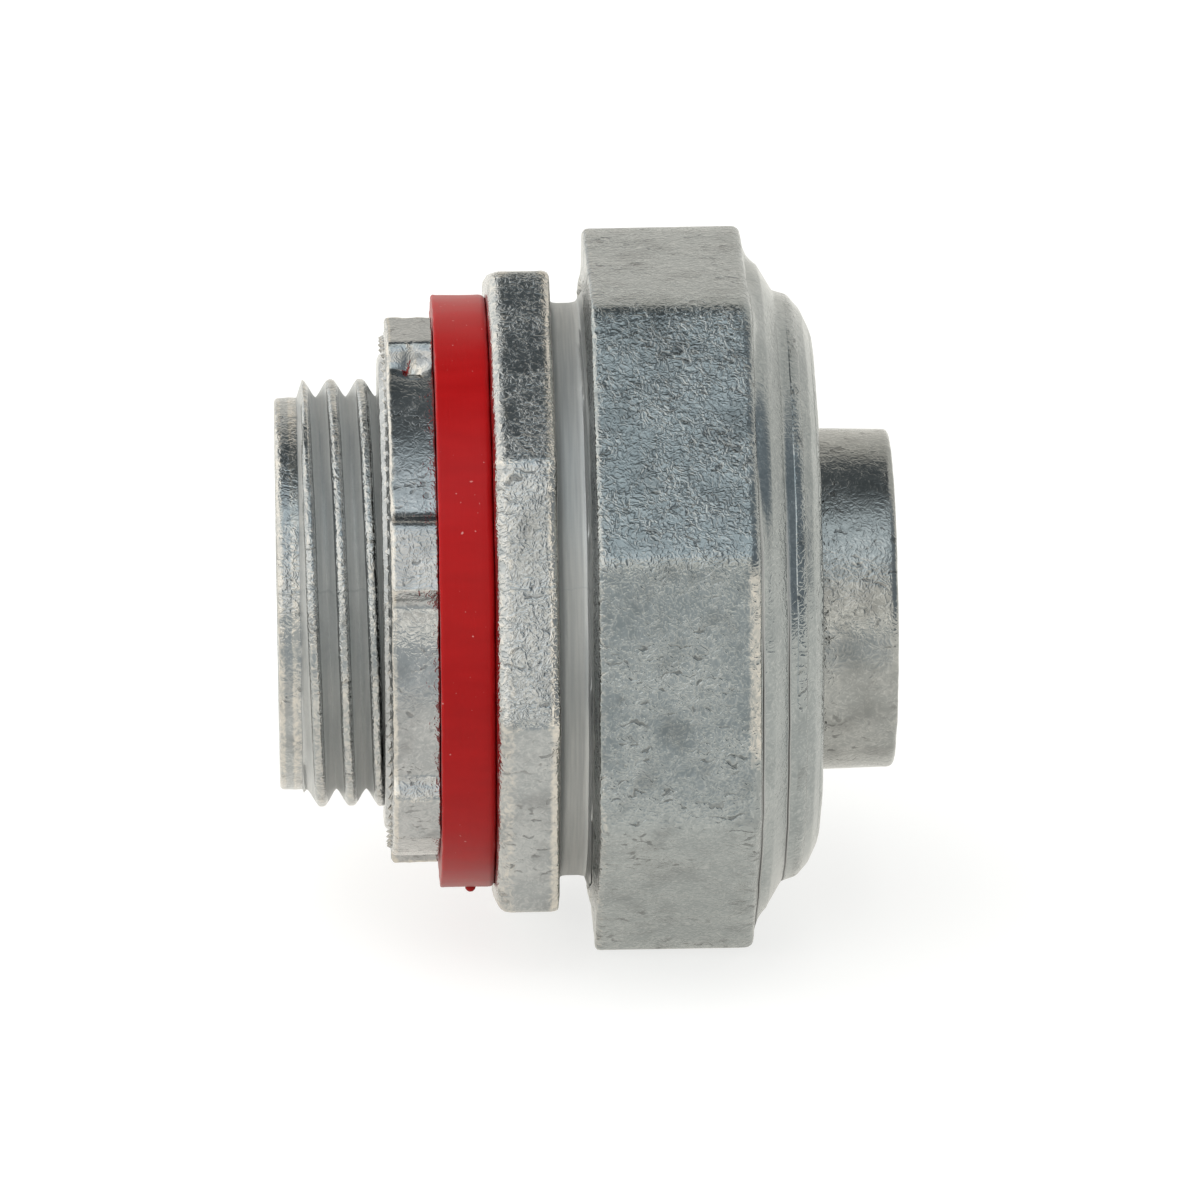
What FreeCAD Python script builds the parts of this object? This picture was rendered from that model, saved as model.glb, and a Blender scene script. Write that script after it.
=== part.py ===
import FreeCAD, Part
import math
import os
import re
import Sketcher

# Straight liquidtight conduit connector of the 3/4 inch trade size, die-cast in zinc.
# X runs along the axis, from the box hub at -X to the conduit end at +X, and Z is up.
# The origin is the centre of the flange's hub-side face, where the sealing washer seats.
# Lengths are in millimetres and angles in degrees.

SIZES = [
    # Conduit that the connector takes
    ("conduit_radius", 13.35),
    ("conduit_bore_radius", 10.45),
    # Box hub and its thread
    ("hub_length", 13.0),
    ("hub_thread_radius", 13.1),
    ("hub_thread_depth", 1.1),
    ("hub_lead_length", 1.5),
    ("hub_relief_length", 1.4),
    ("hub_wall", 1.8),
    ("hub_edge", 0.4),
    # Octagonal flange
    ("flange_thickness", 3.8),
    ("flange_overhang", 1.0),
    ("flange_turn", 27.6),
    ("flange_seat_edge", 0.9),
    ("flange_back_edge", 0.4),
    # Neck and threaded spigot of the gland
    ("neck_length", 1.5),
    ("neck_depth", 0.95),
    ("spigot_wall", 3.05),
    ("spigot_length", 9.0),
    ("spigot_edge", 0.9),
    ("mouth_chamfer", 0.8),
    ("socket_floor_length", 1.6),
    # Ferrule that the conduit is pushed over
    ("ferrule_length", 19.2),
    ("ferrule_wall", 1.45),
    ("ferrule_edge", 0.45),
    ("ferrule_base", 1.4),
    ("ferrule_play", 0.95),
    ("ferrule_rest_gap", 0.05),
    ("skirt_length", 5.6),
    ("skirt_wall", 1.0),
    ("skirt_clearance", 0.15),
    # Compression ring
    ("ring_length", 4.8),
    ("ring_clearance", 0.2),
    ("ring_rear_wall", 1.05),
    ("ring_overlap", 0.35),
    ("ring_gap", 1.15),
    ("ring_seat_gap", 0.2),
    # Octagonal gland nut with its dome
    ("thread_clearance", 0.15),
    ("nut_wall", 1.95),
    ("nut_bore_depth", 9.6),
    ("nut_face_bevel", 0.35),
    ("nut_corner_round", 0.9),
    ("nut_edge", 0.4),
    ("octagon_past_bore", 0.25),
    ("opening_clearance", 0.35),
    ("cone_length", 3.75),
    ("lip_length", 0.75),
    ("dome_inset", 0.6),
    ("shoulder_length", 0.95),
    ("shoulder_drop", 0.3),
    ("waist_length", 0.95),
    ("waist_drop", 1.5),
    ("bead_length", 1.55),
    ("bead_drop", 0.35),
    ("bead_round", 0.65),
    ("bead_round_drop", 0.85),
    ("rim_width", 1.95),
    # Sealing washer
    ("washer_thickness", 3.0),
    ("washer_width", 4.85),
    ("washer_clearance", 0.2),
    ("washer_edge", 0.35),
    # Locknut with its lugs
    ("locknut_length", 2.95),
    ("locknut_wall", 2.9),
    ("locknut_gap", 0.35),
    ("locknut_edge", 0.5),
    ("collar_height", 0.35),
    ("collar_wall", 1.45),
    ("lug_count", 6),
    ("lug_height", 1.15),
    ("lug_tip_width", 4.1),
    ("lug_root_width", 6.35),
    ("lug_bevel", 0.4),
    ("lug_turn", 4.8),
]

FITS = [
    ("hub_root_radius", "hub_thread_radius - hub_thread_depth"),
    ("hub_flank", "hub_thread_depth * tan(30 deg)"),
    ("hub_thread_start", "hub_lead_length + hub_flank - hub_length"),
    ("throat_radius", "hub_root_radius - hub_wall"),
    ("skirt_bore_radius", "conduit_radius + skirt_clearance"),
    ("skirt_radius", "skirt_bore_radius + skirt_wall"),
    ("socket_radius", "skirt_radius + ferrule_play"),
    ("spigot_radius", "socket_radius + spigot_wall"),
    ("neck_radius", "spigot_radius - neck_depth"),
    ("neck_end", "flange_thickness + neck_length"),
    ("spigot_end", "neck_end + spigot_length"),
    ("socket_floor", "flange_thickness + socket_floor_length"),
    ("flange_flat", "spigot_radius + flange_overhang"),
    ("ferrule_bore_radius", "conduit_bore_radius - ferrule_wall"),
    ("nut_bore_radius", "spigot_radius + thread_clearance"),
    ("nut_flat", "nut_bore_radius + nut_wall"),
    ("opening_radius", "conduit_radius + opening_clearance"),
    ("cone_slope", "(nut_bore_radius - opening_radius) / cone_length"),
    ("octagon_end", "nut_bore_depth + octagon_past_bore"),
    ("nut_length", "nut_bore_depth + cone_length + lip_length"),
    ("dome_radius", "nut_flat - dome_inset"),
    ("shoulder_end", "octagon_end + shoulder_length"),
    ("shoulder_radius", "dome_radius - shoulder_drop"),
    ("waist_end", "shoulder_end + waist_length"),
    ("waist_radius", "shoulder_radius - waist_drop"),
    ("bead_start", "nut_length - bead_length"),
    ("bead_radius", "waist_radius - bead_drop"),
    ("rim_radius", "opening_radius + rim_width"),
    ("ring_bore_radius", "conduit_radius + ring_clearance"),
    ("ring_rear_radius", "ring_bore_radius + ring_rear_wall"),
    ("ring_front_radius", "opening_radius + ring_overlap"),
    ("ring_ridge", "(ring_length * cone_slope + ring_front_radius - ring_rear_radius) / (1 + cone_slope)"),
    ("ring_radius", "ring_rear_radius + ring_ridge"),
    ("ring_start", "spigot_end + ring_gap - (socket_radius + mouth_chamfer - ring_rear_radius)"),
    ("cone_at_ring", "nut_bore_depth + (nut_bore_radius - ring_front_radius) / cone_slope"),
    ("nut_start", "ring_start + ring_length + ring_seat_gap - cone_at_ring"),
    ("washer_bore_radius", "hub_thread_radius + washer_clearance"),
    ("washer_radius", "washer_bore_radius + washer_width"),
    ("locknut_bore_radius", "hub_thread_radius + thread_clearance"),
    ("locknut_radius", "locknut_bore_radius + locknut_wall"),
    ("collar_radius", "locknut_bore_radius + collar_wall"),
    ("lug_radius", "locknut_radius + lug_height"),
    ("locknut_start", "-(washer_thickness + locknut_gap)"),
]

OCTAGON_SIDES = 8
FULL_TURN = 360
NEAR = 0.001

doc = FreeCAD.newDocument("LiquidtightConnector")
sheet = doc.addObject("Spreadsheet::Sheet", "Sizes")
for row, (alias, content) in enumerate(SIZES + FITS, 1):
    cell = f"B{row}"
    sheet.set(f"A{row}", alias)
    sheet.set(cell, f"={content}" if isinstance(content, str) else str(content))
    sheet.setAlias(cell, alias)
doc.recompute()
ALIASES = {alias for alias, content in SIZES + FITS}


def bound(expression):
    """The expression with each size's name led by the sheet's."""
    return re.sub(r"[a-z_]+", lambda word: f"Sizes.{word[0]}" if word[0] in ALIASES else word[0], expression)


def size(expression):
    """The number that an expression on the sheet gives now."""
    return float(sheet.evalExpression(bound(expression)))


def bind(item, path, expression):
    """Ties one property of an object to an expression on the sheet."""
    item.setExpression(path, bound(expression))


def new_body(label, start="0", turn="0"):
    """A body for one piece, placed along the axis and turned about it."""
    body = doc.addObject("PartDesign::Body", label)
    body.Label = label
    body.Placement = FreeCAD.Placement(FreeCAD.Vector(), FreeCAD.Rotation(FreeCAD.Vector(1, 0, 0), 1))
    bind(body, "Placement.Base.x", start)
    bind(body, "Placement.Rotation.Angle", f"({turn}) * 1 deg")
    return body


def origin_part(body, role):
    """One of the body's own origin planes or axes."""
    return [item for item in body.Origin.OriginFeatures if item.Role == role][0]


def new_sketch(body, name, role, offset="0"):
    """An empty sketch on one of the body's origin planes, moved along the plane's normal."""
    sketch = body.newObject("Sketcher::SketchObject", name)
    sketch.AttachmentSupport = [(origin_part(body, role), "")]
    sketch.MapMode = "FlatFace"
    bind(sketch, "AttachmentOffset.Base.z", offset)
    return sketch


def constrain(sketch, expression, kind, *places):
    """Adds a constraint whose value is an expression on the sheet."""
    index = sketch.addConstraint(Sketcher.Constraint(kind, *places, size(expression)))
    bind(sketch, f"Constraints[{index}]", expression)


def outline(sketch, corners):
    """Draws a closed outline of straight sides, with each corner given as (across, up)."""
    points = [FreeCAD.Vector(size(across), size(up), 0) for across, up in corners]
    for here, there in zip(points, points[1:] + points[:1]):
        sketch.addGeometry(Part.LineSegment(here, there), False)
    for index, (across, up) in enumerate(corners):
        after = (index + 1) % len(corners)
        sketch.addConstraint(Sketcher.Constraint("Coincident", index, 2, after, 1))
        constrain(sketch, across, "DistanceX", -1, 1, index, 1)
        constrain(sketch, up, "DistanceY", -1, 1, index, 1)


def turned(body, name, corners, kind="PartDesign::Revolution"):
    """A section in the XZ plane, as (along, out), turned about the axis to add or cut material."""
    sketch = new_sketch(body, f"{name}_section", "XZ_Plane")
    outline(sketch, corners)
    feature = body.newObject(kind, name)
    feature.Profile = sketch
    feature.ReferenceAxis = (sketch, ["H_Axis"])
    feature.Angle = FULL_TURN
    return feature


def octagon_ring(body, name, flat, hole, turn, start, length):
    """An octagonal plate with a round hole, which joins the turned form inside it."""
    sketch = new_sketch(body, f"{name}_outline", "YZ_Plane", start)
    step = 2 * math.pi / OCTAGON_SIDES
    corner_radius = size(flat) / math.cos(step / 2)
    first = math.radians(size(turn)) - step / 2
    corners = [
        FreeCAD.Vector(math.cos(first + step * side), math.sin(first + step * side), 0) * corner_radius
        for side in range(OCTAGON_SIDES)
    ]
    circles = []
    for radius, guide in ((corner_radius, True), (size(hole), False)):
        circle = Part.Circle(FreeCAD.Vector(), FreeCAD.Vector(0, 0, 1), radius)
        circles.append(sketch.addGeometry(circle, guide))
        sketch.addConstraint(Sketcher.Constraint("Coincident", circles[-1], 3, -1, 1))
    guide_circle, hole_circle = circles
    sides = [
        sketch.addGeometry(Part.LineSegment(corners[side], corners[(side + 1) % OCTAGON_SIDES]), False)
        for side in range(OCTAGON_SIDES)
    ]
    for side, after in zip(sides, sides[1:] + sides[:1]):
        sketch.addConstraint(Sketcher.Constraint("Coincident", side, 2, after, 1))
        sketch.addConstraint(Sketcher.Constraint("PointOnObject", side, 1, guide_circle))
    for side in sides[1:]:
        sketch.addConstraint(Sketcher.Constraint("Equal", sides[0], side))
    constrain(sketch, hole, "Radius", hole_circle)
    constrain(sketch, flat, "Distance", -1, 1, sides[0])
    direction = sketch.addConstraint(Sketcher.Constraint("Angle", sides[0], first + step / 2 + math.pi / 2))
    bind(sketch, f"Constraints[{direction}]", f"({turn} + 90) * 1 deg")
    pad = body.newObject("PartDesign::Pad", name)
    pad.Profile = sketch
    bind(pad, "Length", length)
    return pad


def dressed(body, kind, name, base, width, chosen):
    """Rounds or bevels the edges of the base feature that the test chooses."""
    doc.recompute()
    edges = [f"Edge{number}" for number, edge in enumerate(base.Shape.Edges, 1) if chosen(edge)]
    feature = body.newObject(f"PartDesign::{kind}", name)
    feature.Base = (base, edges)
    bind(feature, "Radius" if kind == "Fillet" else "Size", width)
    return feature


def off_axis(point):
    """Distance of a point from the connector's axis."""
    return math.hypot(point.y, point.z)


def along_axis(radius):
    """Chooses straight edges that run along X, at least that far out."""
    def chosen(edge):
        ends = [vertex.Point for vertex in edge.Vertexes]
        if len(ends) != 2 or off_axis(ends[0]) < size(radius) + NEAR:
            return False
        return off_axis(ends[1] - ends[0]) < NEAR
    return chosen


def on_face(place, radius):
    """Chooses the edges of the flat face at that place on X, at least that far out."""
    def chosen(edge):
        ends = [vertex.Point for vertex in edge.Vertexes]
        in_face = all(abs(end.x - size(place)) < NEAR for end in ends)
        return in_face and all(off_axis(end) > size(radius) - NEAR for end in ends)
    return chosen


def make_connector_body():
    """Cast body: threaded box hub, octagonal flange, neck and threaded spigot with its socket."""
    body = new_body("connector_body")
    turned(body, "cast_form", [
        ("-hub_length", "throat_radius"),
        ("-hub_length", "hub_root_radius - hub_edge"),
        ("hub_edge - hub_length", "hub_root_radius"),
        ("hub_lead_length - hub_length", "hub_root_radius"),
        ("hub_thread_start", "hub_thread_radius"),
        ("-hub_relief_length", "hub_thread_radius"),
        ("-hub_relief_length", "hub_root_radius"),
        ("0", "hub_root_radius"),
        ("0", "neck_radius"),
        ("neck_end", "neck_radius"),
        ("neck_end + neck_depth / 2", "spigot_radius"),
        ("spigot_end - spigot_edge", "spigot_radius"),
        ("spigot_end", "spigot_radius - spigot_edge"),
        ("spigot_end", "socket_radius + mouth_chamfer"),
        ("spigot_end - mouth_chamfer", "socket_radius"),
        ("socket_floor", "socket_radius"),
        ("socket_floor", "throat_radius"),
    ])
    flange = octagon_ring(body, "flange", "flange_flat", "neck_radius - neck_depth", "flange_turn",
                          "0", "flange_thickness")
    seat = dressed(body, "Chamfer", "flange_seat_bevel", flange, "flange_seat_edge",
                   on_face("0", "flange_flat"))
    dressed(body, "Chamfer", "flange_back_bevel", seat, "flange_back_edge",
            on_face("flange_thickness", "flange_flat"))
    return body


def make_ferrule():
    """Cast ferrule: the tube inside the conduit, its base and the skirt round the conduit's end."""
    body = new_body("ferrule", "socket_floor")
    bind(body, "Placement.Base.z", "ferrule_rest_gap - ferrule_play")
    turned(body, "cast_form", [
        ("0", "ferrule_bore_radius"),
        ("0", "skirt_radius"),
        ("skirt_length", "skirt_radius"),
        ("skirt_length", "skirt_bore_radius"),
        ("ferrule_base", "skirt_bore_radius"),
        ("ferrule_base", "conduit_bore_radius"),
        ("ferrule_length - ferrule_edge", "conduit_bore_radius"),
        ("ferrule_length", "conduit_bore_radius - ferrule_edge"),
        ("ferrule_length", "ferrule_bore_radius"),
    ])
    return body


def make_compression_ring():
    """Moulded ring with a taper for the spigot's mouth and one for the nut's cone."""
    body = new_body("compression_ring", "ring_start")
    turned(body, "moulded_form", [
        ("0", "ring_bore_radius"),
        ("0", "ring_rear_radius"),
        ("ring_ridge", "ring_radius"),
        ("ring_length", "ring_front_radius"),
        ("ring_length", "ring_bore_radius"),
    ])
    return body


def make_gland_nut():
    """Cast nut: octagon for the wrench, dome with its bead, and the cone that closes the ring."""
    body = new_body("gland_nut", "nut_start")
    turned(body, "cast_form", [
        ("0", "nut_bore_radius"),
        ("nut_face_bevel", "dome_radius"),
        ("octagon_end", "dome_radius"),
        ("shoulder_end", "shoulder_radius"),
        ("waist_end", "waist_radius"),
        ("bead_start", "bead_radius"),
        ("nut_length - bead_round", "bead_radius - bead_round_drop"),
        ("nut_length", "rim_radius"),
        ("nut_length", "opening_radius"),
        ("nut_bore_depth + cone_length", "opening_radius"),
        ("nut_bore_depth", "nut_bore_radius"),
    ])
    octagon = octagon_ring(body, "octagon", "nut_flat", "nut_bore_radius + nut_wall / 2", "0",
                           "nut_face_bevel", "octagon_end - nut_face_bevel")
    corners = dressed(body, "Fillet", "octagon_corners", octagon, "nut_corner_round",
                      along_axis("nut_flat"))
    back = dressed(body, "Chamfer", "octagon_back_bevel", corners, "nut_edge",
                   on_face("nut_face_bevel", "nut_flat"))
    dressed(body, "Chamfer", "octagon_dome_bevel", back, "nut_edge", on_face("octagon_end", "nut_flat"))
    return body


def make_sealing_washer():
    """Moulded washer that seals the hub's hole in the box wall."""
    body = new_body("sealing_washer", "-washer_thickness")
    turned(body, "moulded_form", [
        ("0", "washer_bore_radius"),
        ("0", "washer_radius - washer_edge"),
        ("washer_edge", "washer_radius"),
        ("washer_thickness - washer_edge", "washer_radius"),
        ("washer_thickness", "washer_radius - washer_edge"),
        ("washer_thickness", "washer_bore_radius"),
    ])
    return body


def make_locknut():
    """Cast locknut: a ring with a collar on its outer face and lugs round its rim."""
    body = new_body("locknut", "locknut_start", "lug_turn")
    turned(body, "cast_ring", [
        ("0", "locknut_bore_radius"),
        ("0", "locknut_radius"),
        ("locknut_edge - locknut_length", "locknut_radius"),
        ("-locknut_length", "locknut_radius - locknut_edge"),
        ("-locknut_length", "collar_radius"),
        ("-(locknut_length + collar_height)", "collar_radius - collar_height"),
        ("-(locknut_length + collar_height)", "locknut_bore_radius"),
    ])
    sketch = new_sketch(body, "lug_outline", "YZ_Plane", "-locknut_length")
    outline(sketch, [
        ("-lug_root_width / 2", "locknut_radius - lug_height"),
        ("lug_root_width / 2", "locknut_radius - lug_height"),
        ("lug_root_width / 2", "locknut_radius - lug_height / 4"),
        ("lug_tip_width / 2", "lug_radius"),
        ("-lug_tip_width / 2", "lug_radius"),
        ("-lug_root_width / 2", "locknut_radius - lug_height / 4"),
    ])
    lug = body.newObject("PartDesign::Pad", "lug")
    lug.Profile = sketch
    bind(lug, "Length", "locknut_length")
    doc.recompute()
    lugs = body.newObject("PartDesign::PolarPattern", "lugs")
    lugs.Originals = [lug]
    lugs.Axis = (origin_part(body, "X_Axis"), [""])
    lugs.Angle = FULL_TURN
    bind(lugs, "Occurrences", "lug_count")
    body.Tip = lugs
    doc.recompute()
    turned(body, "lug_bevel", [
        ("-(locknut_length + lug_bevel)", "lug_radius - 2 * lug_bevel"),
        ("2 * lug_bevel - locknut_length", "lug_radius + lug_bevel"),
        ("-(locknut_length + lug_bevel)", "lug_radius + lug_bevel"),
    ], "PartDesign::Groove")
    return body


def check(bodies):
    """Stops if a feature failed, a cut removed nothing or a piece isn't one sound solid."""
    doc.recompute()
    for item in doc.Objects:
        if {"Invalid", "Error"} & set(item.State):
            raise RuntimeError(f"{item.Label} failed: {item.State}")
        if item.isDerivedFrom("PartDesign::Groove"):
            if item.Shape.Volume > item.BaseFeature.Shape.Volume - NEAR:
                raise RuntimeError(f"{item.Label} cuts nothing")
    for body in bodies:
        shape = body.Shape
        if shape.isNull() or not shape.isValid() or len(shape.Solids) != 1:
            raise RuntimeError(f"{body.Label} isn't one sound solid")


bodies = [
    make_connector_body(),
    make_ferrule(),
    make_compression_ring(),
    make_gland_nut(),
    make_sealing_washer(),
    make_locknut(),
]
check(bodies)
os.makedirs("parts", exist_ok=True)
for body in bodies:
    body.Shape.exportStep(f"parts/{body.Label}.step")
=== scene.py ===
import math

import bmesh
import bpy
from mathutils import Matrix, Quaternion, Vector, noise


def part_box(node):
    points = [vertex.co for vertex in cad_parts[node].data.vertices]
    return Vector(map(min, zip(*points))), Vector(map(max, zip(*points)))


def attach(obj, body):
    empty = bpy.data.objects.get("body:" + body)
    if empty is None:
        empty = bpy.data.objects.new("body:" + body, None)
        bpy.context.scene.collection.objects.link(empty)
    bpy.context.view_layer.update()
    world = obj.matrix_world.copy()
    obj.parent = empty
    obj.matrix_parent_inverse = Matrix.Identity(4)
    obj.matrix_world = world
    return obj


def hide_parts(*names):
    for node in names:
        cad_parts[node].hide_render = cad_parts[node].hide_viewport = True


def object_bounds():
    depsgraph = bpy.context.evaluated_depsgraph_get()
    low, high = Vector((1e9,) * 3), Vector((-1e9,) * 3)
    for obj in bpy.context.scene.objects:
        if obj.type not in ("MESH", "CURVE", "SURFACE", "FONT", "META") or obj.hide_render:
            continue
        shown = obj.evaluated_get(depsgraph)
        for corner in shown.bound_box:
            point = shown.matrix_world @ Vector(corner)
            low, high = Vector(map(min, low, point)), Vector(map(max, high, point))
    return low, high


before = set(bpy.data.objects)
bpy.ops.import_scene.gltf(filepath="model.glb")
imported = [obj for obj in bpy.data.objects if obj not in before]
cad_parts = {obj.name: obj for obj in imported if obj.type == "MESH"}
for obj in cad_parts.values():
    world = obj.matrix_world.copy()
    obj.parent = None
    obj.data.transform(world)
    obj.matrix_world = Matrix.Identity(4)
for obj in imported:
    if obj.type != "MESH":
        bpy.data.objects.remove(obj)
cad_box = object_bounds()

# Connector body: one zinc die casting, tumbled after its trimming. The hub goes through the box
# wall, the octagonal flange takes the wrench and the sealing washer, and the spigot behind the
# neck carries the gland nut's thread round the socket for the conduit.
MM = 0.001
COLUMNS = 180
WELD = 0.0005
EASE_CUTS = 4
FLANK_CUTS = 18
FLATS = 8
RIM_STEP = 0.05
NICK_SEED = 2
noise.seed_set(NICK_SEED)

hub_pitch = 1.814
hub_root, hub_crest = 12.0, 13.08
hub_first_crest = -11.26
hub_thread_span = (-11.62, -1.5)
hub_lead, hub_lead_taper = 0.9, 0.02
throat_radius, throat_end = 10.2, 5.2

flange_flat, flange_thickness = 19.5, 3.8
flange_turn, flange_corner, flange_draft = math.radians(27.6), 0.7, 0.08
flange_front_circle, flange_back_circle = 18.0, 18.6

gland_pitch = 1.5875
gland_root, gland_crest = 17.62, 18.48
gland_first_crest = 6.4
gland_thread_span = (5.55, 14.1)
neck_radius, neck_end = 17.55, 5.2
socket_radius, socket_floor, mouth_chamfer = 15.45, 5.4, 0.8


def new_casting():
    """An empty mesh whose points also say how worn they are, and where shade is painted."""
    bm = bmesh.new()
    bm.verts.layers.float.new("wear_and_shade")
    return bm


def softened(corners, plain=0):
    """Stations (x, radius, wear) along corners (x, radius, easing, wear), each rounded by its easing.

    Beside a rounded corner, where there is room, the surface goes back to the plain wear.
    """
    stations = []
    for index, (x, radius, easing, wear_and_shade) in enumerate(corners):
        here = Vector((x, radius))
        if not easing:
            stations.append((x, radius, wear_and_shade))
            continue
        earlier, later = corners[index - 1], corners[(index + 1) % len(corners)]
        before, after = Vector(earlier[:2]) - here, Vector(later[:2]) - here
        first = here + before.normalized() * easing
        last = here + after.normalized() * easing
        if before.length > max(3 * easing, 2 * (easing + earlier[2])):
            stations.append((*(2 * first - here), plain))
        for step in range(EASE_CUTS + 1):
            share = step / EASE_CUTS
            stations.append((*first.lerp(here, share).lerp(here.lerp(last, share), share), wear_and_shade))
        if after.length > max(3 * easing, 2 * (easing + later[2])):
            stations.append((*(2 * last - here), plain))
    return stations


def screw_surface(bm, pitch, low, high, crest_place, span, plain, columns=COLUMNS):
    """A right-hand thread over a span of X that runs out to the plain radius; gives its two rims."""
    spare_turns, flank_slope, run_out_slope = 1.5, 1.2, 3.0
    rubbed_share, crest_wear, valley_wear = 0.15, 0.6, -0.42
    begin = crest_place - pitch / 2
    begin -= pitch * math.ceil((begin - span[0]) / pitch + spare_turns)
    turns = math.ceil((span[1] - begin) / pitch) + 1
    flanks = []
    for step in range(FLANK_CUTS + 1):
        rise = min(1, flank_slope * (1 - abs(2 * step / FLANK_CUTS - 1)))
        rounded = rise ** 2 * (3 - 2 * rise)
        flanks.append((pitch * step / FLANK_CUTS, low + (high - low) * (rise + rounded) / 2))
    thread = new_casting()
    verts = [thread.verts.new((begin + x, 0, radius)) for x, radius in flanks]
    edges = [thread.edges.new(pair) for pair in zip(verts, verts[1:])]
    bmesh.ops.spin(thread, geom=verts + edges, axis=(1, 0, 0), cent=(0, 0, 0),
                   angle=math.tau, dvec=(pitch / columns, 0, 0), steps=columns, use_merge=False)
    first_turn = thread.verts[:] + thread.edges[:] + thread.faces[:]
    for turn in range(1, turns):
        copy = bmesh.ops.duplicate(thread, geom=first_turn)["geom"]
        bmesh.ops.translate(thread, vec=(turn * pitch, 0, 0),
                            verts=[item for item in copy if isinstance(item, bmesh.types.BMVert)])
    bmesh.ops.remove_doubles(thread, verts=thread.verts, dist=WELD)
    for x, side in zip(span, (-1, 1)):
        whole = thread.verts[:] + thread.edges[:] + thread.faces[:]
        bmesh.ops.bisect_plane(thread, geom=whole, dist=WELD, plane_co=(x, 0, 0),
                               plane_no=(side, 0, 0), clear_outer=True)
    wear_and_shade = thread.verts.layers.float["wear_and_shade"]
    for vert in thread.verts:
        radius = math.hypot(vert.co.y, vert.co.z)
        reach = run_out_slope * max(0, min(vert.co.x - span[0], span[1] - vert.co.x))
        kept = plain + max(-reach, min(reach, radius - plain))
        rub = ((kept - low) / (high - low) - 1 + rubbed_share) / rubbed_share
        vert[wear_and_shade] = max(valley_wear, min(crest_wear, rub))
        vert.co.yz *= kept / radius
    mesh = bpy.data.meshes.new("thread")
    thread.to_mesh(mesh)
    thread.free()
    older = len(bm.edges)
    bm.from_mesh(mesh)
    bpy.data.meshes.remove(mesh)
    open_edges = [edge for edge in bm.edges[older:] if edge.is_boundary]
    middle = sum(span) / 2
    return ([edge for edge in open_edges if edge.verts[0].co.x < middle],
            [edge for edge in open_edges if edge.verts[0].co.x > middle])


def carry_on(bm, rim, stations, outline=None):
    """Extends an open rim through stations (x, radius, wear), each a circle or the outline's shape."""
    wear_and_shade = bm.verts.layers.float["wear_and_shade"]
    for x, size, wear_and_shade_value in stations:
        made = bmesh.ops.extrude_edge_only(bm, edges=rim)["geom"]
        ring = {item for item in made if isinstance(item, bmesh.types.BMVert)}
        edges = [item for item in made if isinstance(item, bmesh.types.BMEdge)]
        rim = [edge for edge in edges if ring.issuperset(edge.verts)]
        for vert in ring:
            angle = math.atan2(vert.co.z, vert.co.y)
            radius, edge_wear_and_shade = outline(angle, size) if outline else (size, 0)
            vert.co = (x, radius * math.cos(angle), radius * math.sin(angle))
            vert[wear_and_shade] = wear_and_shade_value + edge_wear_and_shade * (1 - wear_and_shade_value)
    return rim


def gather_columns(rim, turn, power=1.8):
    """Slides a round rim's points along it towards the corners between its flats."""
    half = math.pi / FLATS
    for vert in {vert for edge in rim for vert in edge.verts}:
        angle = math.atan2(vert.co.z, vert.co.y) - turn
        middle = round(angle / (2 * half)) * 2 * half
        off_corner = half * ((half - abs(angle - middle)) / half) ** power
        angle = turn + middle + math.copysign(half - off_corner, angle - middle)
        radius = math.hypot(vert.co.y, vert.co.z)
        vert.co.yz = (radius * math.cos(angle), radius * math.sin(angle))


def octagon(turn, corner, rub, crown, share=1.0):
    """Eight flats, the first facing turn, that fall off by the crown to rounded, rubbed corners.

    A share below 1 fades the outline towards a circle.
    """
    half = math.pi / FLATS
    crown_power, rub_spread = 6, 1.6

    def outline(angle, flat):
        off_corner = abs((angle - turn) % (2 * half) - half)
        reach = (flat - corner) / math.cos(half)
        tangent = math.atan2(corner * math.sin(half), reach + corner * math.cos(half))
        if off_corner < tangent:
            radius = reach * math.cos(off_corner)
            radius += math.sqrt(corner ** 2 - (reach * math.sin(off_corner)) ** 2)
        else:
            radius = flat / math.cos(half - off_corner)
        radius -= crown * (math.tan(half - off_corner) / math.tan(half)) ** crown_power
        wear_and_shade_value = rub * max(0, 1 - off_corner / (rub_spread * tangent))
        return flat + share * (radius - flat), share * wear_and_shade_value

    return outline


def weathered(bm, wobble, nicks):
    """Gives a piece the slight wobble of its skin and the nicks of its edges, inside the part's box."""
    wobble_waves, nick_waves = 0.45, 1.9
    wear_and_shade = bm.verts.layers.float["wear_and_shade"]
    lowest, highest = (corner / MM for corner in cad_box)
    for vert in bm.verts:
        skin = noise.noise_vector(vert.co * wobble_waves) * wobble
        chatter = noise.noise_vector(vert.co * nick_waves) * nicks * max(0, vert[wear_and_shade])
        moved = vert.co + skin + chatter
        vert.co = [max(low, min(high, place)) for low, high, place in zip(lowest, highest, moved)]


def finished(bm, name, material):
    """Makes the mesh a piece: welded, turned outwards, in metres and shaded with its sharp edges."""
    sharp_edge = math.radians(52)
    bmesh.ops.remove_doubles(bm, verts=bm.verts, dist=WELD)
    bmesh.ops.recalc_face_normals(bm, faces=bm.faces)
    bmesh.ops.scale(bm, vec=(MM, MM, MM), verts=bm.verts)
    mesh = bpy.data.meshes.new(name)
    bm.to_mesh(mesh)
    bm.free()
    mesh.shade_smooth()
    mesh.set_sharp_from_angle(angle=sharp_edge)
    mesh.materials.append(material)
    piece = bpy.data.objects.new(name, mesh)
    bpy.context.scene.collection.objects.link(piece)
    return piece


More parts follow.
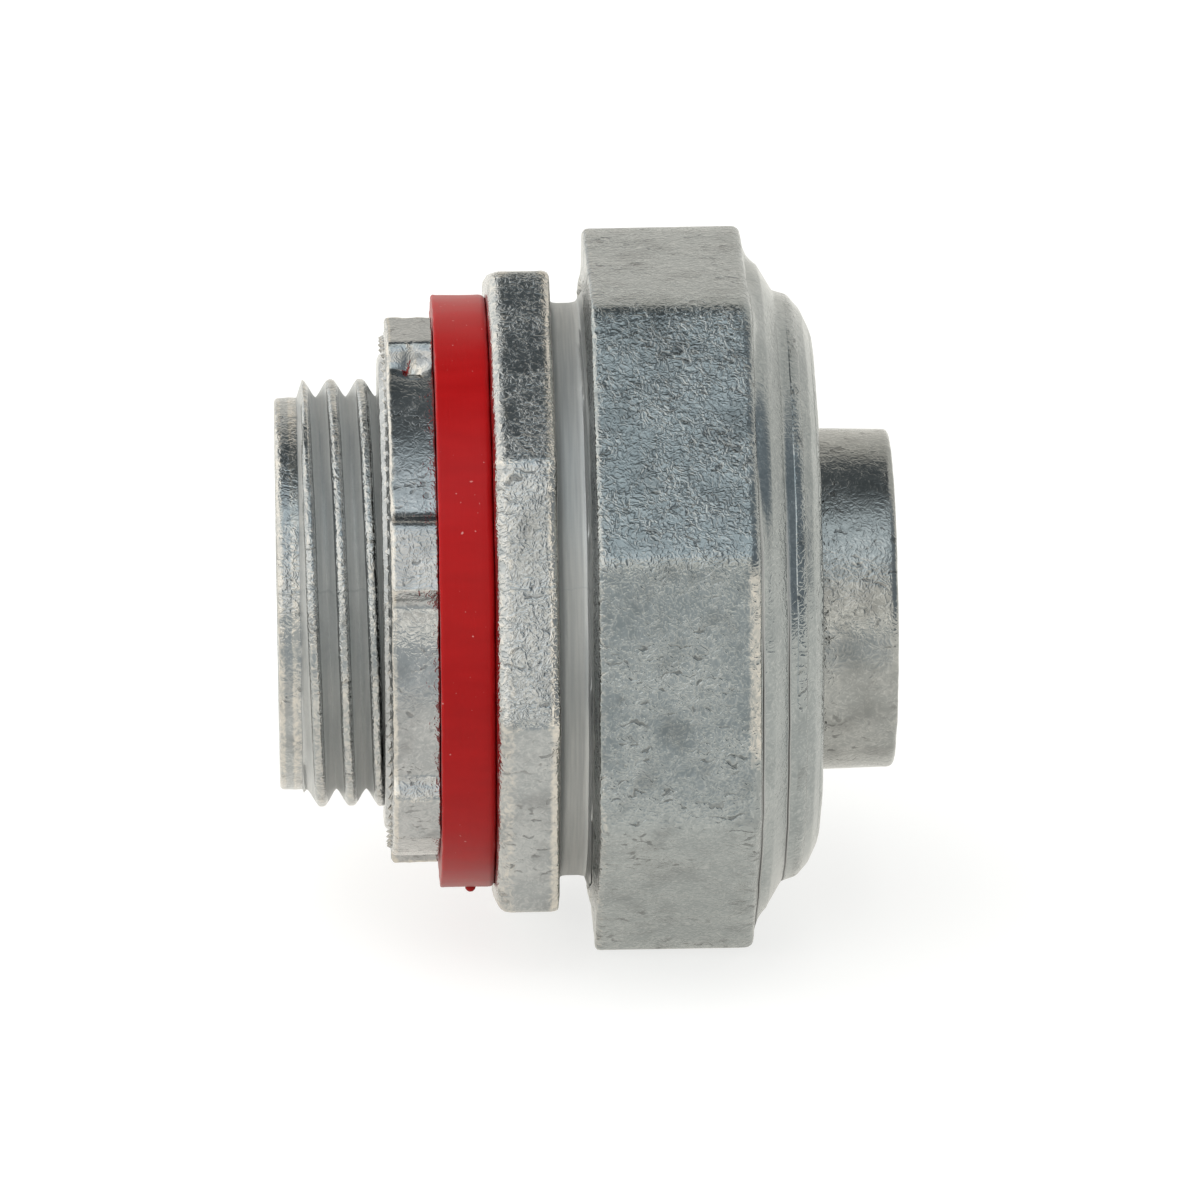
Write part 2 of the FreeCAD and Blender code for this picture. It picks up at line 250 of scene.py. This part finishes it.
class Shade:
    """A socket that takes part in sums: each operator adds one Math node to its tree."""

    def __init__(self, tree, socket=None):
        self.tree = tree
        self.socket = socket

    def node(self, kind, settings, sockets, output=0):
        """Adds a node of this kind, sets it up, fills its sockets and gives one of its outputs."""
        made = self.tree.nodes.new("ShaderNode" + kind)
        for name, setting in settings.items():
            if name == "stops":
                for index, (place, colour) in enumerate(setting):
                    stops = made.color_ramp.elements
                    stop = stops[index] if index < 2 else stops.new(place)
                    stop.position, stop.color = place, colour
            else:
                setattr(made, name, setting)
        for name, content in sockets.items():
            if isinstance(content, Shade):
                self.tree.links.new(content.socket, made.inputs[name])
            else:
                made.inputs[name].default_value = content
        return Shade(self.tree, made.outputs[output])

    def math(self, operation, first, second=0.0):
        return self.node("Math", {"operation": operation}, {0: first, 1: second})

    def __add__(self, other):
        return self.math("ADD", self, other)

    def __sub__(self, other):
        return self.math("SUBTRACT", self, other)

    def __mul__(self, other):
        return self.math("MULTIPLY", self, other)

    def __rsub__(self, other):
        return self.math("SUBTRACT", other, self)

    __radd__ = __add__
    __rmul__ = __mul__

    def between(self, low, high):
        """0 below low, 1 above high and a smooth rise between them."""
        return self.node("MapRange", {"interpolation_type": "SMOOTHSTEP"}, {0: self, 1: low, 2: high})

    def blend(self, first, second):
        """The first colour where this value is 0, the second where it is 1."""
        return self.node("Mix", {"data_type": "RGBA"}, {0: self, 6: first, 7: second}, output=2)

    def noise(self, scale, detail=2.0, distortion=0.0, output=0):
        """Cloudy noise over this place, with scale in waves for each of its units."""
        return self.node("TexNoise", {}, {"Vector": self, "Scale": scale, "Detail": detail,
                                          "Distortion": distortion}, output)

    def stretched(self, x, y, z):
        """This place, taken times a share along each axis."""
        return self.node("VectorMath", {"operation": "MULTIPLY"}, {0: self, 1: (x, y, z)})

    def part(self, axis):
        """One coordinate of this place or direction."""
        return self.node("SeparateXYZ", {}, {0: self}, output=axis)

    def bump(self, strength, distance):
        """This height as relief, with its distance in metres."""
        return self.node("Bump", {}, {"Strength": strength, "Distance": distance, "Height": self})

    def feeds(self, shader, socket):
        self.tree.links.new(self.socket, shader.inputs[socket])


def new_finish(name, **constants):
    """A material: gives it, its shader and the place on the piece in millimetres."""
    material = bpy.data.materials.new(name)
    material.use_nodes = True
    tree = material.node_tree
    shader = tree.nodes["Principled BSDF"]
    for socket, constant in constants.items():
        shader.inputs[socket.replace("_", " ")].default_value = constant
    place = Shade(tree).node("TexCoord", {}, {}, output="Object")
    return material, shader, place.stretched(1 / MM, 1 / MM, 1 / MM)


def cast_zinc(name, tone, peening, seam=None):
    """Tumbled die-cast zinc: mottled, stained, peened and dented, with a parting line at the seam.

    The points' wear-and-shade value picks the finish: rubbed bright towards 1, with a painted
    highlight on the nut's front edge, smooth just below 0, raw as cast towards -0.5, a darker
    dull grey at -0.6 and a line of painted shade past -1.
    """
    def toned(red, green, blue):
        return (tone[0] * red, tone[1] * green, tone[2] * blue, 1)

    dull, clean = toned(0.84, 0.86, 0.87), toned(1.12, 1.12, 1.12)
    stain, dent_painted_shade = toned(0.4, 0.4, 0.4), toned(0.35, 0.35, 0.35)
    painted_glint, rubbed_and_highlight_colour = (0.66, 0.66, 0.64, 1), (0.62, 0.585, 0.53, 1)
    bare_dark, bare_light = (0.46, 0.47, 0.465, 1), (0.57, 0.57, 0.555, 1)
    dull_grey_dark, dull_grey_light = (0.36, 0.365, 0.36, 1), (0.44, 0.44, 0.425, 1)
    crease_shade_colour = (0.03, 0.03, 0.03, 1)
    grain_depth = 0.00015

    material, shader, place = new_finish(name)
    clouds = place.noise(0.3, detail=3)
    swirl = place.noise(1.1, output="Color")
    drift = place.node("VectorMath", {"operation": "MULTIPLY_ADD"},
                       {0: swirl, 1: (1.2, 1.2, 1.2), 2: place})
    grain = drift.noise(2.9, detail=1.5, distortion=0.5)
    flecks = drift.noise(6.5, detail=0)
    drawn = place.stretched(7, 0.2, 0.2).noise(1.0, detail=3).between(0.3, 0.7)

    wear_and_shade_value = place.node("Attribute", {"attribute_name": "wear_and_shade"}, {}, output="Fac")
    rubbed_and_highlight = (wear_and_shade_value + (grain - 0.5) * 0.9).between(0.4, 1.05)
    calm = (0 - wear_and_shade_value).between(0.02, 0.25)
    raw = (0 - wear_and_shade_value).between(0.2, 0.55)
    dull_grey = (0 - wear_and_shade_value).between(0.45, 0.6)
    painted_crease_shade = (0 - wear_and_shade_value).between(0.75, 1.3)
    stains = place.noise(0.45, detail=6).between(0.46, 0.74) * (1 - calm)
    dents = drift.stretched(0.9, 1, 2.4).noise(1.1, detail=1).between(0.61, 0.71)
    dents = dents * clouds.between(0.4, 0.58) * (1 - calm)

    skin = (clouds * 0.45 + grain * 0.4 + flecks * 0.15).between(0.36, 0.64)
    colour = skin.blend(dull, clean)
    # Bright flecks in the colour are painted glints.
    colour = (flecks.between(0.6, 0.7) * 0.12).blend(colour, painted_glint)
    colour = (stains * 0.42).blend(colour, stain)
    # The dents are darkened in colour: painted shade in their hollows.
    colour = (dents * 0.7).blend(colour, dent_painted_shade)
    # Rubbed wear on edges, crests and the chip; on the nut's front edge also a painted highlight.
    colour = rubbed_and_highlight.blend(colour, rubbed_and_highlight_colour)
    # Where the value nears -0.6, as on the neck, the colour is a darker, duller grey.
    hollow = dull_grey.blend(drawn.blend(bare_dark, bare_light), drawn.blend(dull_grey_dark, dull_grey_light))
    colour = (raw * 0.9).blend(colour, hollow)
    # Past -1 the colour goes nearly black: painted shade in creases.
    colour = painted_crease_shade.blend(colour, crease_shade_colour)
    height = grain + flecks * 0.45 - dents * 0.55
    if seam is not None:
        seam_height = 0.78
        out, up = drift.part("Y"), drift.part("Z")
        across = up * math.cos(seam) + out * math.sin(seam) - seam_height
        line = (1 - across.math("ABSOLUTE", across).between(0.03, 0.14)) * (0 - out).between(1.0, 4.0)
        height = height + line * 0.4
        colour = (line * 0.35).blend(colour, dull)
    colour.feeds(shader, "Base Color")
    rough = 0.13 + (clouds - 0.5) * 0.2 + (grain - 0.5) * 0.15 + calm * 0.06 + raw * 0.24
    rough.feeds(shader, "Roughness")
    (1 - raw * 0.5).feeds(shader, "Metallic")
    relief = height * (clouds.between(0.3, 0.7) * 0.7 + 0.5) * (1 - calm * 0.8)
    relief.bump(peening, grain_depth).feeds(shader, "Normal")
    return material


body_start, body_end = (corner.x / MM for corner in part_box("connector_body"))
# The neck between flange and spigot thread is given a darker, duller grey.
neck_dull_grey = -0.6

bm = new_casting()
hub_rim, flange_rim = screw_surface(bm, hub_pitch, hub_root, hub_crest, hub_first_crest,
                                    hub_thread_span, hub_root)
throat_rim = carry_on(bm, hub_rim, softened([
    (hub_thread_span[0] - RIM_STEP, hub_root, 0, 0.6),
    (body_start + hub_lead, hub_root, 0, 0.8),
    (body_start, hub_root - hub_lead_taper, 0.3, 0.75),
    (body_start, throat_radius, 0.3, 0.5),
    (throat_end, throat_radius, 0, 0),
]))
flange_rim = carry_on(bm, flange_rim, softened([
    (hub_thread_span[1] + RIM_STEP, hub_root, 0, 0),
    (0, hub_root, 0.4, 0),
    (0, flange_front_circle, 0, 0),
]))
gather_columns(flange_rim, flange_turn)
flange_rim = carry_on(bm, flange_rim, softened([
    (0, flange_front_circle + 0.2, 0, 0),
    (flange_draft, flange_flat, 0.8, 0.6),
    (flange_thickness, flange_flat, 0.45, 0.85),
    (flange_thickness, flange_back_circle + 0.3, 0, 0),
]), octagon(flange_turn, flange_corner, rub=0.5, crown=0.08))
neck_rim = carry_on(bm, flange_rim, softened([
    (flange_thickness, flange_back_circle, 0, 0),
    (flange_thickness, neck_radius, 0.6, neck_dull_grey),
    (neck_end, neck_radius, 0, neck_dull_grey),
]))
gland_rim, mouth_rim = screw_surface(bm, gland_pitch, gland_root, gland_crest, gland_first_crest,
                                     gland_thread_span, gland_root)
floor_rim = carry_on(bm, mouth_rim, softened([
    (gland_thread_span[1] + RIM_STEP, gland_root, 0, 0),
    (body_end, gland_root - RIM_STEP, 0.12, 0.4),
    (body_end, socket_radius + mouth_chamfer, 0.2, 0.3),
    (body_end - mouth_chamfer, socket_radius, 0.2, 0),
    (socket_floor, socket_radius, 0.3, 0),
    (socket_floor, throat_radius, 0, 0),
]))
bmesh.ops.bridge_loops(bm, edges=neck_rim + gland_rim)
bmesh.ops.bridge_loops(bm, edges=floor_rim + throat_rim)
weathered(bm, wobble=0.03, nicks=0.06)
body_zinc = cast_zinc("tumbled_zinc_body", (0.39, 0.40, 0.40), peening=0.55, seam=math.radians(18.5))
cast_body = finished(bm, "cast_body", body_zinc)
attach(cast_body, "connector")
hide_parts("connector_body")

# Ferrule: a zinc die casting that drops into the socket. The conduit is pushed over its tube
# and held at the end by the skirt, so the tube's bare nose is what shows past the gland nut.
ferrule_start, ferrule_end = (corner.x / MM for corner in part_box("ferrule"))
ferrule_drop = sum(corner.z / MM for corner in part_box("ferrule")) / 2
ferrule_tube, ferrule_bore = 10.45, 9.0
ferrule_base, skirt_end = ferrule_start + 1.4, ferrule_start + 5.6
skirt_bore, skirt_outside = 13.5, 14.5
nose_length, nose_taper = 4.0, 0.08


def turned(bm, stations):
    """Turns a closed outline of stations about the axis."""
    wear_and_shade = bm.verts.layers.float["wear_and_shade"]
    verts = []
    for x, radius, wear_and_shade_value in stations:
        verts.append(bm.verts.new((x, 0, radius)))
        verts[-1][wear_and_shade] = wear_and_shade_value
    edges = [bm.edges.new(pair) for pair in zip(verts, verts[1:] + verts[:1])]
    bmesh.ops.spin(bm, geom=verts + edges, axis=(1, 0, 0), cent=(0, 0, 0), angle=math.tau,
                   steps=COLUMNS, use_merge=True)


bm = new_casting()
turned(bm, softened([
    (ferrule_start, ferrule_bore, 0.3, 0.2),
    (ferrule_start, skirt_outside, 0.2, 0.2),
    (skirt_end, skirt_outside, 0.2, 0.5),
    (skirt_end, skirt_bore, 0.2, 0.5),
    (ferrule_base, skirt_bore, 0.25, 0),
    (ferrule_base, ferrule_tube, 0.25, 0),
    (ferrule_end - nose_length, ferrule_tube, 0, 0),
    (ferrule_end, ferrule_tube - nose_taper, 0.42, 0.3),
    (ferrule_end, ferrule_bore, 0.3, 0.4),
]))
bmesh.ops.translate(bm, vec=(0, 0, ferrule_drop), verts=bm.verts)
weathered(bm, wobble=0.03, nicks=0.06)
ferrule_zinc = cast_zinc("peened_zinc_ferrule", (0.34, 0.345, 0.335), peening=0.26)
cast_ferrule = finished(bm, "cast_ferrule", ferrule_zinc)
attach(cast_ferrule, "connector")
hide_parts("ferrule")

# Compression ring: moulded in pale nylon, with one taper for the spigot's mouth and one for the
# nut's cone. Tightening the nut wedges it between the two, and it closes on the conduit.
ring_start, ring_end = (corner.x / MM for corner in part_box("compression_ring"))
ring_bore, ring_rear, ring_ridge, ring_front = 13.55, 14.6, 17.09, 14.05
ridge_place = ring_start + ring_ridge - ring_rear
nylon_dark, nylon_light = (0.70, 0.68, 0.60, 1), (0.80, 0.78, 0.71, 1)

bm = new_casting()
turned(bm, softened([
    (ring_start, ring_bore, 0.2, 0),
    (ring_start, ring_rear, 0.2, 0),
    (ridge_place, ring_ridge, 0.25, 0),
    (ring_end, ring_front, 0.15, 0),
    (ring_end, ring_bore, 0.15, 0),
]))
nylon, shader, place = new_finish("moulded_nylon", Subsurface_Weight=0.25, Subsurface_Scale=0.0015,
                                  Subsurface_Radius=(1.0, 0.9, 0.75))
mottle = place.noise(0.8, detail=3)
mottle.blend(nylon_dark, nylon_light).feeds(shader, "Base Color")
(0.42 + mottle * 0.16).feeds(shader, "Roughness")
place.noise(1.6, detail=3).bump(0.3, 0.00003).feeds(shader, "Normal")
nylon_ring = finished(bm, "nylon_ring", nylon)
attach(nylon_ring, "compression_ring")
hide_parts("compression_ring")

# Gland nut: a zinc die casting with an octagon for the wrench and a domed nose with a bead round
# its opening. It screws onto the spigot, and the cone behind the nose drives the ring home.
nut_start, nut_end = (corner.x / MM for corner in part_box("gland_nut"))
nut_flat, nut_corner, nut_crown, nut_circle = 20.75, 0.9, 0.22, 19.9
octagon_start, octagon_end = nut_start + 0.36, nut_start + 10.05
shoulder, crease = nut_start + 11.0, nut_start + 11.85
shoulder_radius, crease_radius, bead_radius, nose_radius = 19.55, 18.14, 17.85, 15.7
nut_bore, nut_opening, thread_room = 18.65, 13.7, 0.13
bore_end, cone_end = nut_start + 9.6, nut_start + 13.35
nut_thread_span = (nut_start + 0.75, nut_start + 9.2)
smooth_wear, crease_shade_wear = -0.2, -1.5
nut_octagon = octagon(0, nut_corner, rub=0.2, crown=nut_crown)


def rubbed_with_painted_highlight_in_front(angle, flat):
    """The octagon, its front flat's edge bright over most of its length: wear and a painted highlight.
    """
    rub, bright_turn, bright_reach, bright_fade = 0.75, math.pi - 0.08, 0.38, 0.12
    radius, wear_and_shade_value = nut_octagon(angle, flat)
    off_front = abs(angle % math.tau - bright_turn)
    return radius, max(wear_and_shade_value, rub * max(0, min(1, (bright_reach - off_front) / bright_fade)))


def painted_shade_ring(shape=None):
    """This outline, or a circle, for a ring of painted shade that is left off its upper side."""
    shade_lifted, shade_lift_slope = (smooth_wear - crease_shade_wear) / (1 - crease_shade_wear), 1.6

    def outline(angle, size):
        radius = shape(angle, size)[0] if shape else size
        return radius, shade_lifted * max(0, min(1, shade_lift_slope * math.sin(angle)))

    return outline


bm = new_casting()
face_rim, cone_rim = screw_surface(bm, gland_pitch, gland_root + thread_room, gland_crest + thread_room,
                                   gland_first_crest, nut_thread_span, gland_crest + thread_room)
nut_rim = carry_on(bm, face_rim, softened([
    (nut_start + 0.5, nut_bore, 0, 0),
    (nut_start + 0.06, nut_bore + 0.25, 0.2, 0.7),
    (octagon_start, nut_circle, 0, 0.2),
]))
gather_columns(nut_rim, 0)
nut_rim = carry_on(bm, nut_rim, softened([
    (octagon_start, nut_circle + 0.1, 0, 0),
    (octagon_start + 0.02, nut_flat, 0.35, 0.5),
    (octagon_end - 0.95, nut_flat, 0, 0),
]), nut_octagon)
nut_rim = carry_on(bm, nut_rim, softened([
    (octagon_end - 0.62, nut_flat, 0, 0),
    (octagon_end, nut_flat, 0.55, 0),
    (octagon_end + 0.05, nut_circle, 0, smooth_wear),
]), rubbed_with_painted_highlight_in_front)
fading = octagon(0, nut_corner, rub=0, crown=nut_crown, share=0.75)
# A ring of painted shade where the octagon meets the dome, on its lower side only.
nut_rim = carry_on(bm, nut_rim, [(octagon_end + 0.14, nut_circle - 0.02, crease_shade_wear)], painted_shade_ring(fading))
for share, x, radius in ((0.45, 0.3, 19.86), (0.22, 0.55, 19.8), (0.06, 0.85, 19.68)):
    fading = octagon(0, nut_corner, rub=0, crown=nut_crown, share=share)
    nut_rim = carry_on(bm, nut_rim, [(octagon_end + x, radius, smooth_wear)], fading)
nut_rim = carry_on(bm, nut_rim, [
    (shoulder, shoulder_radius, smooth_wear),
    (crease - 0.1, crease_radius + 0.15, smooth_wear),
])
# A ring of painted shade in the crease before the bead, on its lower side only.
nut_rim = carry_on(bm, nut_rim, [(crease, crease_radius, crease_shade_wear)], painted_shade_ring())
opening_rim = carry_on(bm, nut_rim, softened([
    (crease + 0.15, crease_radius - 0.06, 0, smooth_wear),
    (crease + 0.9, bead_radius, 0.2, 0.2),
    (crease + 1.65, bead_radius - 0.85, 0.15, smooth_wear),
    (nut_end, nose_radius, 0.3, 0.1),
    (nut_end, nut_opening, 0.3, 0.3),
    (cone_end, nut_opening, 0.2, smooth_wear),
    (bore_end, nut_bore, 0, smooth_wear),
], plain=smooth_wear))
bmesh.ops.bridge_loops(bm, edges=opening_rim + cone_rim)
weathered(bm, wobble=0.04, nicks=0.06)
nut_zinc = cast_zinc("tumbled_zinc_nut", (0.33, 0.35, 0.35), peening=0.62)
cast_nut = finished(bm, "cast_nut", nut_zinc)
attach(cast_nut, "gland_nut")
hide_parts("gland_nut")

# Sealing washer: moulded in one red plastic, free on the hub. The locknut draws it against the
# box wall, and the stub of its moulding gate is left on the rim.
washer_start, washer_end = (corner.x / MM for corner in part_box("sealing_washer"))
washer_bore, washer_rim, washer_swell, washer_hollow = 13.3, 18.15, 0.3, 0.02
gate_place, gate_turn, gate_size = -1.45, math.radians(251.5), 0.34
gate_reach = washer_rim - washer_hollow
red_dark, red_light = (0.29, 0.001, 0.002, 1), (0.39, 0.003, 0.004, 1)
speck_pale = (0.72, 0.42, 0.40, 1)

bm = new_casting()
turned(bm, softened([
    (washer_start - washer_swell, washer_bore, 0.2, 0),
    (washer_start - washer_swell, washer_rim, 0.14, 0.6),
    (washer_start + 1.5, washer_rim - washer_hollow, 0, 0),
    (washer_end, washer_rim, 0.4, 0.4),
    (washer_end, washer_bore, 0.2, 0),
]))
weathered(bm, wobble=0.03, nicks=0.08)
gate = bmesh.ops.create_icosphere(bm, subdivisions=2, radius=gate_size)["verts"]
bmesh.ops.translate(bm, verts=gate, vec=(gate_place, gate_reach * math.cos(gate_turn),
                                         gate_reach * math.sin(gate_turn)))
red, shader, place = new_finish("moulded_red_plastic", Subsurface_Weight=0.08, Subsurface_Scale=0.0008,
                                Subsurface_Radius=(1.0, 0.25, 0.2), Specular_IOR_Level=0.18)
streaks = place.stretched(0.3, 1, 1).noise(1.2, detail=4)
specks = place.noise(3.4, detail=1).between(0.76, 0.81)
(specks * 0.5).blend(streaks.blend(red_dark, red_light), speck_pale).feeds(shader, "Base Color")
(0.30 + streaks * 0.12 + specks * 0.2).feeds(shader, "Roughness")
ridges = place.stretched(6, 0.25, 0.25).noise(1.0, detail=3)
(ridges + specks * 0.8).bump(0.25, 0.00003).feeds(shader, "Normal")
red_washer = finished(bm, "red_washer", red)
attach(red_washer, "sealing_washer")
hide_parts("sealing_washer")

# Locknut: a thin zinc die casting that runs on the hub's thread. Six lugs round its rim are
# driven with a screwdriver, and the face away from the wall has a collar and fine serrations.
locknut_start, locknut_end = (corner.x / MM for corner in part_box("locknut"))
locknut_columns = 368
locknut_bore, locknut_rim, collar_tip, collar_foot = 13.3, 16.15, 14.35, 14.7
lug_count, lug_turn = 6, math.radians(94.8)
lug_tip, lug_root, lug_reach, lug_foot = 4.1 / 2, 5.5 / 2, 17.28, 15.86
serrations, serration_height, serration_reach = 92, 0.22, 15.6
chip_place, chip_radius, chip_turn = -4.5, 16.6, math.radians(105.5)
chip_reach, chip_depth, chip_waves, chip_rag, chip_sink = 0.95, 1.2, 2.3, 0.6, 0.5
ring_face = locknut_start + 0.35
locknut_thread_span = (ring_face + 0.1, locknut_end - 0.25)


def lugged(angle, rim):
    """The locknut's outline at this angle: its rim, or the flat tip or sloping side of a lug."""
    tip_rub, tip_rub_reach = 0.9, 0.3
    step = math.tau / lug_count
    off_lug = abs((angle - lug_turn + step / 2) % step - step / 2)
    slope = (lug_root - lug_tip) / (lug_reach - lug_foot)
    height = lug_reach - locknut_rim
    tip = lug_reach / math.cos(off_lug)
    side = (lug_tip + slope * lug_reach) / (math.sin(off_lug) + slope * math.cos(off_lug))
    lug = max(0, min(tip, side) - locknut_rim) / height if off_lug < step / 3 else 0
    tip_edge = abs(off_lug - math.atan2(lug_tip, lug_reach)) * lug_reach
    return rim + lug * height, tip_rub * max(0, 1 - tip_edge / tip_rub_reach)


bm = new_casting()
collar_rim, back_rim = screw_surface(bm, hub_pitch, hub_root + thread_room, hub_crest + thread_room,
                                     hub_first_crest, locknut_thread_span, hub_crest + thread_room,
                                     locknut_columns)
outer_rim = carry_on(bm, collar_rim, softened([
    (locknut_start + 0.2, locknut_bore, 0, 0),
    (locknut_start, locknut_bore + 0.2, 0.12, 0),
    (locknut_start, collar_tip, 0.12, 0.4),
    (ring_face, collar_foot, 0.1, 0),
    (ring_face, collar_foot + 0.5, 0, 0),
]))
outer_rim = carry_on(bm, outer_rim, [
    (ring_face, serration_reach - 0.25, 0.2),
    (ring_face, serration_reach, 0.9),
])
for vert in {vert for edge in outer_rim for vert in edge.verts}:
    tooth = math.cos(serrations * math.atan2(vert.co.z, vert.co.y))
    vert.co.x -= serration_height * max(0, tooth)
outer_rim = carry_on(bm, outer_rim, [(ring_face + 0.06, serration_reach + 0.15, 0)])
outer_rim = carry_on(bm, outer_rim, softened([
    (ring_face + 0.08, locknut_rim - 0.3, 0, 0),
    (ring_face + 0.2, locknut_rim, 0.15, 0.8),
    *((ring_face + 0.3 * step, locknut_rim, 0, 0) for step in range(2, 9)),
    (locknut_end, locknut_rim, 0.07, 0.4),
    (locknut_end, locknut_rim - 0.7, 0, 0),
]), lugged)
locknut_back = carry_on(bm, outer_rim, softened([
    (locknut_end, collar_foot + 0.3, 0, 0),
    (locknut_end, locknut_bore + 0.2, 0.15, 0),
    (locknut_end - 0.2, locknut_bore, 0, 0),
]))
bmesh.ops.bridge_loops(bm, edges=locknut_back + back_rim)
chip = Vector((chip_place, chip_radius * math.cos(chip_turn), chip_radius * math.sin(chip_turn)))
wear_and_shade = bm.verts.layers.float["wear_and_shade"]
for vert in bm.verts:
    depth = chip_depth * max(0, 1 - (vert.co - chip).length / chip_reach) ** 0.5
    ragged = noise.noise_vector(vert.co * chip_waves) * chip_rag
    vert.co += depth * (ragged - chip.normalized() * chip_sink)
    vert[wear_and_shade] = max(vert[wear_and_shade], depth)
weathered(bm, wobble=0.04, nicks=0.06)
locknut_zinc = cast_zinc("peened_zinc_locknut", (0.40, 0.405, 0.405), peening=0.28,
                         seam=math.radians(18.5))
cast_locknut = finished(bm, "cast_locknut", locknut_zinc)
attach(cast_locknut, "locknut")
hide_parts("locknut")

# Studio: a pale sheet under the part, soft light from a bright front and back with a darker
# ceiling between them, and a long lens that looks down on the part from its side.
floor_reach, floor_gap = 0.8, 0.0002
floor_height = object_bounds()[0].z - floor_gap
sheet_white = (1.0, 1.0, 0.99, 1)
glow_near, glow_far = (1.0, 0.97, 0.89, 1), (0.42, 0.47, 0.49, 1)
sheet_glow, glow_share = 1.2, 0.62

bm = bmesh.new()
bmesh.ops.create_grid(bm, x_segments=1, y_segments=1, size=floor_reach)
bmesh.ops.translate(bm, vec=(0, 0, floor_height), verts=bm.verts)
mesh = bpy.data.meshes.new("floor")
bm.to_mesh(mesh)
bm.free()
floor = bpy.data.objects.new("floor", mesh)
bpy.context.scene.collection.objects.link(floor)
paper, shader, place = new_finish("pale_paper", Roughness=0.7, Base_Color=(0.88, 0.87, 0.85, 1))
camera_ray = place.node("LightPath", {}, {}, output="Is Camera Ray")
glossy_ray = place.node("LightPath", {}, {}, output="Is Glossy Ray")
transmission_ray = place.node("LightPath", {}, {}, output="Is Transmission Ray")
shown = place.math("MAXIMUM", place.math("MAXIMUM", camera_ray, glossy_ray), transmission_ray)
# The sheet glows white to the camera; in reflections its glow is warm near the part and a dimmer,
# cooler grey far in front.
far = (0 - place.part("Y")).between(36, 70) * (1 - place.part("X").between(20, 50))
seen = glossy_ray.blend(sheet_white, far.blend(glow_near, glow_far))
glow = place.node("Emission", {}, {"Color": seen, "Strength": sheet_glow})
lit = Shade(paper.node_tree, shader.outputs[0])
sheet = place.node("MixShader", {}, {0: shown * glow_share, 1: lit, 2: glow})
sheet.feeds(paper.node_tree.nodes["Material Output"], "Surface")
mesh.materials.append(paper)

# Light round the part: degrees up and over from the horizon in front, level and tint.
warm, cool = (1.03, 1.0, 0.92), (0.89, 1.0, 1.05)
bands = [
    (-60, 0.8, warm), (-12, 0.6, cool), (-3, 0.4, cool), (0, 1.6, warm), (4, 1.6, warm),
    (8, 1.05, warm), (28, 1.05, warm), (38, 0.7, cool), (52, 1.1, cool), (68, 1.1, cool),
    (77, 0.75, cool), (86, 0.3, cool), (96, 0.16, cool), (122, 0.16, cool), (134, 0.7, warm),
    (150, 0.88, warm), (179, 0.92, warm),
]
right_front, right_back = (0.30, 0.34, 0.37, 1), (0.95, 0.93, 0.87, 1)
left_wall, left_window = (0.75, 0.78, 0.79, 1), (1.5, 1.5, 1.45, 1)

world = bpy.data.worlds.new("studio")
bpy.context.scene.world = world
world.use_nodes = True
sky = Shade(world.node_tree)
direction = sky.node("TexCoord", {}, {}, output="Generated")
along, away, up = (direction.part(axis) for axis in "XYZ")
tilt = up.math("ARCTAN2", up, 0 - away) * (1 / math.tau) + 0.5
stops = [(0.5 + degrees / 360, (*(level * part for part in tint), 1)) for degrees, level, tint in bands]
light = sky.node("ValToRGB", {"stops": stops}, {0: tilt})
light = along.between(0.1, 0.45).blend(light, away.between(-0.1, 0.35).blend(right_front, right_back))
light = (0 - along).between(0.1, 0.35).blend(light, left_wall)
light = (0 - along).between(0.36, 0.46).blend(light, left_window)
light.feeds(world.node_tree.nodes["Background"], "Color")

for name, stand, size, energy, mirrored in (
    ("front_softbox", Vector((-0.15, -0.55, 0.38)), 0.45, 0.3, True),
    ("ceiling_softbox", Vector((-0.10, -0.25, 0.75)), 0.6, 2.6, False),
):
    lamp = bpy.data.lights.new(name, "AREA")
    lamp.size, lamp.energy = size, energy
    softbox = bpy.data.objects.new(name, lamp)
    softbox.location = stand
    softbox.rotation_euler = (-stand).to_track_quat("-Z", "Y").to_euler()
    softbox.visible_glossy = mirrored
    bpy.context.scene.collection.objects.link(softbox)

view_distance, view_width = 0.75, 0.0736
azimuth, elevation, roll = math.radians(-1.75), math.radians(18.5), math.radians(-0.4)
aim = Vector((0.0068, 0, -0.00075))
back = Vector((math.sin(azimuth) * math.cos(elevation), -math.cos(azimuth) * math.cos(elevation),
               math.sin(elevation)))
lens = bpy.data.cameras.new("camera")
lens.lens = lens.sensor_width * view_distance / view_width
lens.clip_start, lens.clip_end = 0.01, 10
camera = bpy.data.objects.new("camera", lens)
camera.location = aim + back * view_distance
camera.rotation_mode = "QUATERNION"
camera.rotation_quaternion = (-back).to_track_quat("-Z", "Y") @ Quaternion((0, 0, 1), roll)
bpy.context.scene.collection.objects.link(camera)
bpy.context.scene.camera = camera
bpy.context.scene.view_settings.view_transform = "Standard"
